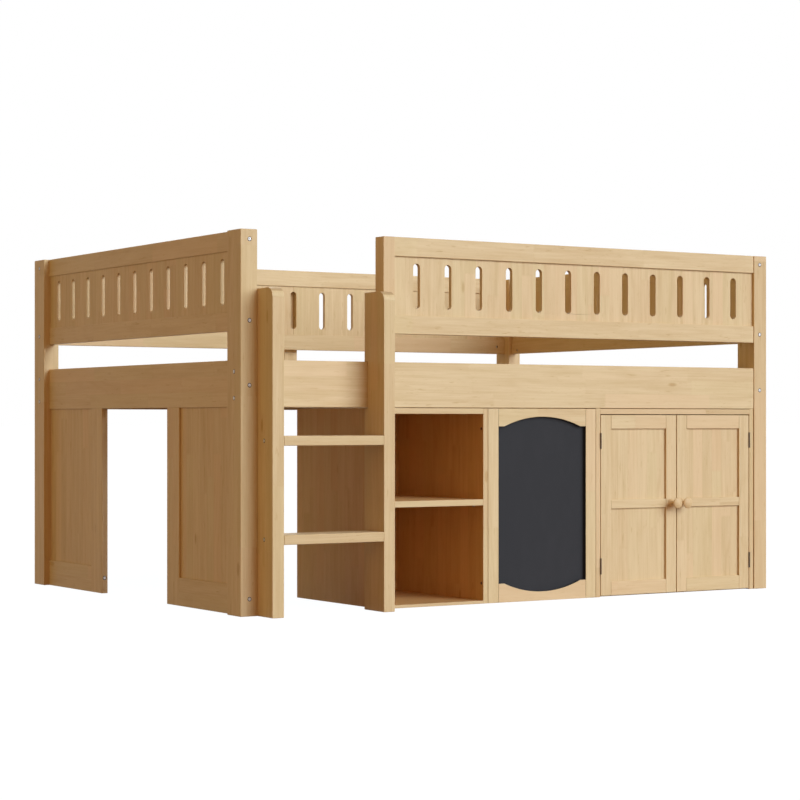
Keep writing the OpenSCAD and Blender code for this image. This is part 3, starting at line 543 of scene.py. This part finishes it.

# Fasteners
# Zinc-plated bolts with rounded heads in counterbores, the rims given painted shade,
# with plated barrel nuts; blackened countersunk screws; turned beech dowels hidden in
# their joints.
coat_node("barrel_nuts", zinc)
black_steel = metal(
    "black_steel",
    bright=(0.13, 0.10, 0.08, 1.0),
    dull=(0.06, 0.045, 0.035, 1.0),
    rough=0.5,
    streaks=500.0,
    metallic=0.3,
)
coat_node("wood_screws", black_steel)
bolt_zinc = metal(
    "bolt_zinc",
    bright=(0.80, 0.76, 0.74, 1.0),
    dull=(0.58, 0.54, 0.52, 1.0),
    rough=0.38,
    streaks=500.0,
    metallic=0.25,
)
SAME_RADIUS = 1e-5
for node in ("frame_bolts", "ladder_bolts"):
    bolts = merged_copy(node, "_rounded")
    shape = bmesh.new()
    shape.from_mesh(bolts.data)
    weight = shape.edges.layers.float.new("bevel_weight_edge")
    for bolt in islands(shape):
        low = [min(v.co[i] for v in bolt) for i in range(3)]
        high = [max(v.co[i] for v in bolt) for i in range(3)]
        axis = max(range(3), key=lambda i: high[i] - low[i])
        middle = [(low[i] + high[i]) / 2 for i in range(3)]
        flat = [i for i in range(3) if i != axis]

        def off_axis(v):
            return math.hypot(*(v.co[i] - middle[i] for i in flat))

        widest = max(off_axis(v) for v in bolt)
        wide = [v for v in bolt if off_axis(v) > widest - SAME_RADIUS]
        crown = max(
            (v.co[axis] for v in wide), key=lambda place: abs(place - middle[axis])
        )
        rim = {v for v in wide if abs(v.co[axis] - crown) < SAME_RADIUS}
        for v in rim:
            for line in v.link_edges:
                if line.other_vert(v) in rim:
                    line[weight] = 1.0
    shape.to_mesh(bolts.data)
    shape.free()
    dome = bolts.modifiers.new("dome", "BEVEL")
    dome.width = 0.0021
    dome.segments = 4
    dome.limit_method = "WEIGHT"
    dome.material = 1
    # The second slot marks the faces that the bevel makes, and goes again
    bolts.data.materials.clear()
    for finish in (bolt_zinc, bolt_zinc):
        bolts.data.materials.append(finish)
    bpy.ops.object.modifier_apply(modifier=dome.name)
    # Painted shade: the faces the bevel made, the rounded rim of each head, are marked for
    # a dark ring that stands for the shaded counterbore
    shape = bmesh.new()
    shape.from_mesh(bolts.data)
    rim_shade = shape.faces.layers.float.new("rim_shade")
    for face in shape.faces:
        face[rim_shade] = float(face.material_index == 1)
        face.material_index = 0
    shape.to_mesh(bolts.data)
    shape.free()
    bolts.data.materials.pop()
    bpy.ops.object.shade_smooth_by_angle(angle=math.radians(40))
    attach(bolts, frame["nodes"][node]["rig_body"])
    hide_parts(node)
beech = new_finish("turned_beech")
x, y, z = beech.object_place()
dowel_grain = beech.noise(beech.vector(x * 300.0, y * 300.0, z * 300.0), 2.0)
beech.set(
    "Base Color",
    beech.mix(dowel_grain, (0.66, 0.47, 0.28, 1.0), (0.52, 0.33, 0.17, 1.0)),
)
beech.set("Roughness", 0.55 + dowel_grain * 0.15)
coat_node("dowels", beech.owner)

# Bookcase
# A narrow carcass of solid glued-up board: the sides stand on the floor with top and
# bottom between them, a loose shelf lies on four pins and a thin back closes it.
CABINET_BOARDS = {
    "left_side": "Z",
    "right_side": "Z",
    "top": "X",
    "bottom": "X",
    "shelf": "X",
    "back": "Z",
}
OUTER_SIDE = 0.004
OUTER_FACE = 0.001


def paint_inner_shade(piece, cabinet, outside=0.0):
    """Stores the share of painted shade on each face of a cabinet board: 1 on inner faces,
    outside on others not facing front.
    """
    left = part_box(cabinet + "_left_side")[0].x + OUTER_SIDE
    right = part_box(cabinet + "_right_side")[1].x - OUTER_SIDE
    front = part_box(cabinet + "_top")[0].y + OUTER_FACE
    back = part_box(cabinet + "_back")[1].y - OUTER_FACE
    shape = bmesh.new()
    shape.from_mesh(piece.data)
    inner_shade_share = shape.faces.layers.float.new("inner_shade_share")
    for face in shape.faces:
        middle = face.calc_center_median()
        inner = left < middle.x < right and front < middle.y < back
        face[inner_shade_share] = 1.0 if inner else outside * float(face.normal.y > -0.6)
    shape.to_mesh(piece.data)
    shape.free()


# The bookcase's inner faces, and at 0.6 its outer faces that don't face the front, get
# painted shade
for part, along in CABINET_BOARDS.items():
    board = planed("bookcase_" + part, eased=0.0012, along=along)
    paint_inner_shade(board, "bookcase", outside=0.6)
coat_node("shelf_pins", zinc)

# Chalkboard
# Two stiles and two rails, the rails band-sawn to a shallow arch, grooved all round for
# a thin board with black chalk paint, wiped clean but never quite free of dust.
board_frame = planed("chalkboard_frame", eased=0.0014, every_edge=True)
board_low, board_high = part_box("chalkboard")
FRAME_FOOT, FRAME_TOP = 0.03, 0.61
FACES_FRONT = 0.6
# The frame's faces that face sideways inside the opening around the board are marked to be
# coloured near black
shape = bmesh.new()
shape.from_mesh(board_frame.data)
dark_opening_edge = shape.faces.layers.float.new("dark_opening_edge")
for face in shape.faces:
    middle = face.calc_center_median()
    in_width = board_low.x < middle.x < board_high.x
    in_height = FRAME_FOOT < middle.z < FRAME_TOP
    face[dark_opening_edge] = float(in_width and in_height and abs(face.normal.y) < FACES_FRONT)
shape.to_mesh(board_frame.data)
shape.free()
slate = new_finish("chalk_paint")
x, y, z = slate.object_place()
wipe = slate.noise(slate.vector(x * 7.0, y, z * 4.0), 3.0, 0.55)
swirl = slate.noise(slate.vector(x * 26.0 + wipe * 3.0, y, z * 11.0), 3.0)
tooth = slate.noise(slate.vector(x * 900.0, y * 900.0, z * 900.0), 2.0)
dust = slate.limit((wipe - 0.42) * 0.9 + (swirl - 0.5) * 0.5)
slate.set(
    "Base Color",
    slate.mix(dust, (0.0170, 0.0155, 0.0170, 1.0), (0.0265, 0.0245, 0.0265, 1.0)),
)
slate.set("Roughness", 0.72 + (tooth - 0.5) * 0.2)
slate.set("Specular IOR Level", 0.24)
slate.bump(tooth, distance=0.00008, strength=0.5)
coat_node("chalkboard", slate.owner)

# Cupboard
# The bookcase's wider neighbour, built the same way, with a shelf behind its two doors,
# a dark double catch under the top and its right side screwed to the post.
# The cupboard's inner faces get painted shade as well
for part, along in CABINET_BOARDS.items():
    paint_inner_shade(planed("cupboard_" + part, eased=0.0012, along=along), "cupboard")
bronze = metal(
    "dark_bronze",
    bright=(0.17, 0.105, 0.050, 1.0),
    dull=(0.09, 0.055, 0.028, 1.0),
    rough=0.48,
    streaks=500.0,
    metallic=0.2,
)
coat_node("cupboard_catch", bronze)
coat_node("hinge_fixed_leaves", bronze)

# Doors
# Two stiles and three rails each, butted and grooved for two flat panels of upright
# staves. The hinge leaves are screwed to the outer edges.
for side in ("left", "right"):
    planed(side + "_door_frame", eased=0.0014)
    planed(side + "_door_panels", eased=0.0008, along="Z")
    coat_node(side + "_door_metalwork", bronze)

# Knobs
# Turned on a lathe from beech: a broad foot, a slim waist and a head that flares out to
# a low crown, varnished and drawn up tight by a screw from inside the door.
turned = new_finish("turned_knob")
x, y, z = turned.object_place()
knob_figure = turned.noise(turned.vector(x * 60.0, y * 60.0, z * 260.0), 3.0)
turned.set(
    "Base Color",
    turned.mix(knob_figure, (0.735, 0.520, 0.280, 1.0), (0.57, 0.37, 0.17, 1.0)),
)
turned.set("Roughness", 0.36 + knob_figure * 0.1)
turned.set("Specular IOR Level", 0.25)
turned.bump(knob_figure, distance=0.0001, strength=0.5)
# The profile from the door outward, as distance from the door and radius
KNOB_PROFILE = (
    (0.0000, 0.0150), (0.0012, 0.0150), (0.0022, 0.0136), (0.0038, 0.0113),
    (0.0060, 0.0086), (0.0088, 0.0063), (0.0118, 0.0053), (0.0148, 0.0055),
    (0.0185, 0.0072), (0.0225, 0.0099), (0.0265, 0.0129), (0.0300, 0.0159),
    (0.0322, 0.0180), (0.0336, 0.0190), (0.0348, 0.0190), (0.0360, 0.0180),
    (0.0376, 0.0154), (0.0392, 0.0115), (0.0403, 0.0070), (0.0409, 0.0025),
)
for side in ("left", "right"):
    node = side + "_door_knob"
    low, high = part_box(node)
    x, z, face = (low.x + high.x) / 2, (low.z + high.z) / 2, high.y
    bpy.ops.object.select_all(action="DESELECT")
    bpy.ops.mesh.primitive_circle_add(
        vertices=64,
        radius=KNOB_PROFILE[0][1],
        fill_type="NGON",
        location=(x, face, z),
        rotation=(math.pi / 2, 0, 0),
    )
    knob = bpy.context.object
    knob.name = side + "_turned_knob"
    bpy.ops.object.transform_apply(location=True, rotation=True, scale=True)
    bpy.ops.object.mode_set(mode="EDIT")
    bpy.ops.mesh.select_all(action="SELECT")
    for here, beyond in zip(KNOB_PROFILE, KNOB_PROFILE[1:]):
        grow = beyond[1] / here[1]
        bpy.ops.mesh.extrude_region_move(
            TRANSFORM_OT_translate={"value": (0, here[0] - beyond[0], 0)}
        )
        bpy.ops.transform.resize(value=(grow, 1, grow), center_override=(x, face, z))
    bpy.ops.mesh.select_all(action="SELECT")
    bpy.ops.mesh.normals_make_consistent(inside=False)
    bpy.ops.mesh.select_all(action="DESELECT")
    bpy.ops.object.mode_set(mode="OBJECT")
    bpy.ops.object.shade_smooth_by_angle(angle=math.radians(40))
    knob.data.materials.append(turned.owner)
    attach(knob, side + "_door")
    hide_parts(node)

# Floor
# A plain pale studio floor. The eye sees it nearly white, with the bed's soft shadow.
bpy.ops.object.select_all(action="DESELECT")
bpy.ops.mesh.primitive_plane_add(size=400.0, location=(0, 0, -0.0005))
floor = bpy.context.object
floor.name = "studio_floor"
bpy.ops.object.transform_apply(location=True, rotation=True, scale=True)
paper = new_finish("studio_paper")
paper.set("Base Color", (0.37, 0.21, 0.11, 1.0))
paper.set("Roughness", 0.9)
paper.set("Specular IOR Level", 0.0)
glow = paper.node(
    "Emission", None, {"Color": (0.972, 0.998, 1.014, 1.0), "Strength": 1.38}
)
matte = Field(paper, paper.shader.outputs[0])
shown = paper.node("MixShader", None, {0: paper.seen() * 0.72, 1: matte, 2: glow})
paper.feed(paper.tree.nodes["Material Output"].inputs["Surface"], shown)
floor.data.materials.append(paper.owner)
floor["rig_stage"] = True

# Light
# A broad soft lamp in front to the right, two weak warm ones on the left for what a
# room gives back, and one behind that keeps the back from going dark. The world itself
# is white to the eye and nearly dark.
room = Finish(bpy.data.worlds.new("studio"))
bpy.context.scene.world = room.owner
dim = room.node("Background", None, {"Color": (1.0, 0.46, 0.16, 1.0), "Strength": 0.05})
white = room.node("Background", None, {"Color": (1.0, 1.0, 1.0, 1.0), "Strength": 1.0})
walls = room.node("MixShader", None, {0: room.seen(), 1: dim, 2: white})
room.feed(room.tree.nodes["World Output"].inputs["Surface"], walls)


def lamp(name, azimuth, height, spread, strength, colour):
    """A far broad lamp. Azimuth 0 is in front of the bed and 90 is to its right."""
    light = bpy.data.lights.new(name, "SUN")
    light.angle = math.radians(spread)
    light.energy = strength
    light.color = colour
    holder = bpy.data.objects.new(name, light)
    bpy.context.scene.collection.objects.link(holder)
    holder.rotation_euler = (math.radians(90 - height), 0.0, math.radians(azimuth))


# Name, azimuth, height and spread in degrees, strength, colour
lamp("key_lamp", 26, 20, 50, 3.44, (0.85, 0.985, 1.12))
lamp("warm_lamp", -106, 14, 50, 0.42, (1.0, 0.91, 0.46))
lamp("glow_lamp", -48, 10, 96, 0.90, (1.0, 0.58, 0.24))
lamp("back_lamp", 158, 15, 60, 1.30, (1.0, 0.94, 0.84))

# Camera
# Level, at 0.6 m above the floor, to the left of the ladder, with a slight rise of the
# lens instead of a tilt, so that all posts stay upright.
camera_data = bpy.data.cameras.new("camera")
camera_data.lens = 97.37
camera_data.sensor_width = 36.0
camera_data.shift_y = 0.02577
camera = bpy.data.objects.new("camera", camera_data)
bpy.context.scene.collection.objects.link(camera)
camera.location = (-4.1654, -6.5553, 0.5963)
camera.rotation_euler = (math.radians(90.0), 0.0, math.radians(-32.366))
bpy.context.scene.camera = camera

boxes = {"cad": cad_box, "visual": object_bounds()}
{name: [list(corner) for corner in box] for name, box in boxes.items()}
